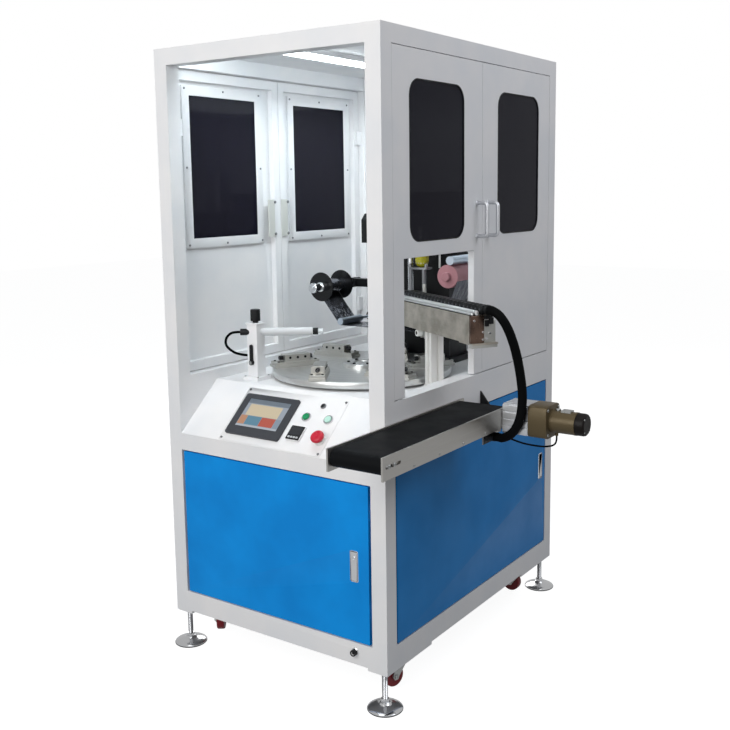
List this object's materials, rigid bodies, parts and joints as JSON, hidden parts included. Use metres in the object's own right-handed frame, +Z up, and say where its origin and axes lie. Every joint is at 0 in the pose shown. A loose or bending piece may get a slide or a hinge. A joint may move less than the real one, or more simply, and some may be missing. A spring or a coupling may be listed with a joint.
{
  "type": "hot foil stamping machine",
  "caption": "Enclosed hot foil stamping machine: round indexing table with part holders, heated press head, foil reels, transfer beam, belt conveyor and sloped console on a welded frame.",
  "frame": {"origin": "on the floor, under the middle of the machine's bounding box without its cords", "axes": "+Z up, +Y from the operator's front to the back, +X to the operator's right, where the conveyor is"},
  "size_m": [1.232, 1.32, 1.818],
  "materials": {
    "white_paint": "white powder coat, light orange peel",
    "blue_paint": "blue powder coat, semi-gloss",
    "black_paint": "black oxide and black paint, satin",
    "aluminium": "clear anodised, satin",
    "steel": "ground, fine lines",
    "chrome": "polished plate",
    "rubber": "black, matt",
    "wheel_red": "dark red polyurethane",
    "roll_pink": "wound used foil, satin sheen",
    "black_plastic": "moulded, fine grain",
    "panes": "smoked acrylic sheet",
    "green_plastic": "moulded cap",
    "pale_plastic": "translucent moulded cap",
    "red_plastic": "moulded cap",
    "gear_paint": "olive brown enamel on the gear case",
    "foil": "metallised film"
  },
  "bodies": {
    "frame": {"air_hose": "rubber", "back_panel": "blue_paint", "base_frame": "white_paint", "cable_chain": "black_plastic", "console_panel": "white_paint", "conveyor_belt": "rubber", "conveyor_frame": "aluminium", "conveyor_motor": "gear_paint", "electrical_plate": "steel", "foil_web": "foil", "front_left_foot": "chrome", "front_right_foot": "chrome", "index_drive": "steel", "motor_cable": "rubber", "press_cylinder": "aluminium", "press_frame": "black_paint", "rear_left_foot": "chrome", "rear_right_foot": "chrome", "right_lower_panel": "blue_paint", "sensor_cable": "rubber", "sensor_post": "white_paint", "table_plate": "white_paint", "touch_panel": "black_plastic", "transfer_beam": "aluminium", "upper_frame": "white_paint"},
    "turntable": {"turntable": "aluminium"},
    "press_ram": {"press_ram": "steel"},
    "supply_reel": {"supply_reel": "black_plastic"},
    "takeup_reel": {"takeup_reel": "roll_pink"},
    "transfer_carriage": {"transfer_carriage": "black_paint"},
    "gripper": {"gripper": "aluminium"},
    "drive_roller": {"drive_roller": "steel"},
    "idler_roller": {"idler_roller": "steel"},
    "start_button": {"start_button": "green_plastic"},
    "reset_button": {"reset_button": "pale_plastic"},
    "emergency_stop": {"emergency_stop": "red_plastic"},
    "front_door": {"front_door": "blue_paint"},
    "front_latch": {"front_latch": "chrome"},
    "left_lower_door": {"left_lower_door": "blue_paint"},
    "clamp_lever": {"clamp_lever": "black_plastic"},
    "left_front_door": {"left_front_door": "white_paint", "left_front_window": "panes", "left_front_handle": "aluminium"},
    "left_rear_door": {"left_rear_door": "white_paint", "left_rear_window": "panes", "left_rear_handle": "aluminium"},
    "right_front_door": {"right_front_door": "white_paint", "right_front_window": "panes", "right_front_handle": "aluminium"},
    "right_rear_door": {"right_rear_door": "white_paint", "right_rear_window": "panes", "right_rear_handle": "aluminium"},
    "front_left_caster": {"front_left_caster_fork": "steel"},
    "front_left_wheel": {"front_left_wheel": "wheel_red"},
    "front_right_caster": {"front_right_caster_fork": "steel"},
    "front_right_wheel": {"front_right_wheel": "wheel_red"},
    "rear_left_caster": {"rear_left_caster_fork": "steel"},
    "rear_left_wheel": {"rear_left_wheel": "wheel_red"},
    "rear_right_caster": {"rear_right_caster_fork": "steel"},
    "rear_right_wheel": {"rear_right_wheel": "wheel_red"}
  },
  "joints": [
    {"name": "turntable_spin", "type": "hinge", "parent": "frame", "child": "turntable", "pos_m": [-0.17976, 0.058, 0], "axis": [0, 0, 1], "continuous": true},
    {"name": "ram_stroke", "type": "slide", "parent": "frame", "child": "press_ram", "axis": [0, 0, -1], "range_m": [0, 0.047]},
    {"name": "takeup_spin", "type": "hinge", "parent": "frame", "child": "takeup_reel", "pos_m": [0.05074, 0.258, 1.134], "axis": [0, 1, 0], "continuous": true},
    {"name": "supply_spin", "type": "hinge", "parent": "frame", "child": "supply_reel", "pos_m": [-0.44726, 0.258, 1.079], "axis": [0, 1, 0], "continuous": true},
    {"name": "carriage_slide", "type": "slide", "parent": "frame", "child": "transfer_carriage", "axis": [0.8545, -0.5195, 0], "range_m": [0, 0.35]},
    {"name": "gripper_lower", "type": "slide", "parent": "transfer_carriage", "child": "gripper", "axis": [0, 0, -1], "range_m": [0, 0.05]},
    {"name": "drive_roller_spin", "type": "hinge", "parent": "frame", "child": "drive_roller", "pos_m": [0.30074, -0.026, 0.7757], "axis": [1, 0, 0], "continuous": true},
    {"name": "idler_roller_spin", "type": "hinge", "parent": "frame", "child": "idler_roller", "pos_m": [0.30074, -0.634, 0.7757], "axis": [1, 0, 0], "continuous": true},
    {"name": "start_button_press", "type": "slide", "parent": "frame", "child": "start_button", "axis": [0, 0.6557, -0.755], "range_m": [0, 0.003], "stiffness_N_per_m": 600, "springref_m": -0.001},
    {"name": "reset_button_press", "type": "slide", "parent": "frame", "child": "reset_button", "axis": [0, 0.6557, -0.755], "range_m": [0, 0.003], "stiffness_N_per_m": 600, "springref_m": -0.001},
    {"name": "emergency_stop_press", "type": "slide", "parent": "frame", "child": "emergency_stop", "axis": [0, 0.6557, -0.755], "range_m": [0, 0.005], "stiffness_N_per_m": 1200, "springref_m": -0.001},
    {"name": "right_front_door_hinge", "type": "hinge", "parent": "frame", "child": "right_front_door", "pos_m": [0.21674, -0.357, 0.859], "axis": [0, 0, -1], "range_deg": [0, 110]},
    {"name": "right_rear_door_hinge", "type": "hinge", "parent": "frame", "child": "right_rear_door", "pos_m": [0.21674, 0.589, 0.859], "axis": [0, 0, 1], "range_deg": [0, 110]},
    {"name": "left_front_door_hinge", "type": "hinge", "parent": "frame", "child": "left_front_door", "pos_m": [-0.57626, -0.357, 0.859], "axis": [0, 0, 1], "range_deg": [0, 110]},
    {"name": "left_rear_door_hinge", "type": "hinge", "parent": "frame", "child": "left_rear_door", "pos_m": [-0.57626, 0.589, 0.859], "axis": [0, 0, -1], "range_deg": [0, 110]},
    {"name": "front_door_hinge", "type": "hinge", "parent": "frame", "child": "front_door", "pos_m": [-0.52401, -0.405, 0.185], "axis": [0, 0, -1], "range_deg": [0, 110]},
    {"name": "front_latch_lift", "type": "hinge", "parent": "front_door", "child": "front_latch", "pos_m": [0.11224, -0.407, 0.4407], "axis": [-1, 0, 0], "range_deg": [0, 45]},
    {"name": "left_lower_door_hinge", "type": "hinge", "parent": "frame", "child": "left_lower_door", "pos_m": [-0.57626, -0.35425, 0.185], "axis": [0, 0, 1], "range_deg": [0, 110]},
    {"name": "clamp_lever_turn", "type": "hinge", "parent": "frame", "child": "clamp_lever", "pos_m": [-0.41326, -0.2013, 0.8803], "axis": [0, 1, 0], "range_deg": [0, 90]},
    {"name": "front_left_caster_swivel", "type": "hinge", "parent": "frame", "child": "front_left_caster", "pos_m": [-0.51926, -0.265, 0.1067], "axis": [0, 0, 1], "continuous": true},
    {"name": "front_left_wheel_roll", "type": "hinge", "parent": "front_left_caster", "child": "front_left_wheel", "pos_m": [-0.50664, -0.28302, 0.048], "axis": [0.8192, 0.5736, 0], "continuous": true},
    {"name": "front_right_caster_swivel", "type": "hinge", "parent": "frame", "child": "front_right_caster", "pos_m": [0.15974, -0.265, 0.1067], "axis": [0, 0, 1], "continuous": true},
    {"name": "front_right_wheel_roll", "type": "hinge", "parent": "front_right_caster", "child": "front_right_wheel", "pos_m": [0.15368, -0.28615, 0.048], "axis": [0.9613, -0.2756, 0], "continuous": true},
    {"name": "rear_left_caster_swivel", "type": "hinge", "parent": "frame", "child": "rear_left_caster", "pos_m": [-0.51926, 0.497, 0.1067], "axis": [0, 0, 1], "continuous": true},
    {"name": "rear_left_wheel_roll", "type": "hinge", "parent": "rear_left_caster", "child": "rear_left_wheel", "pos_m": [-0.52532, 0.47585, 0.048], "axis": [0.9613, -0.2756, 0], "continuous": true},
    {"name": "rear_right_caster_swivel", "type": "hinge", "parent": "frame", "child": "rear_right_caster", "pos_m": [0.15974, 0.497, 0.1067], "axis": [0, 0, 1], "continuous": true},
    {"name": "rear_right_wheel_roll", "type": "hinge", "parent": "rear_right_caster", "child": "rear_right_wheel", "pos_m": [0.13774, 0.497, 0.048], "axis": [0, -1, 0], "continuous": true}
  ],
  "couplings": [
    {"joint": "supply_spin", "follows": "takeup_spin", "ratio": 1.5417},
    {"joint": "idler_roller_spin", "follows": "drive_roller_spin", "ratio": 1}
  ]
}
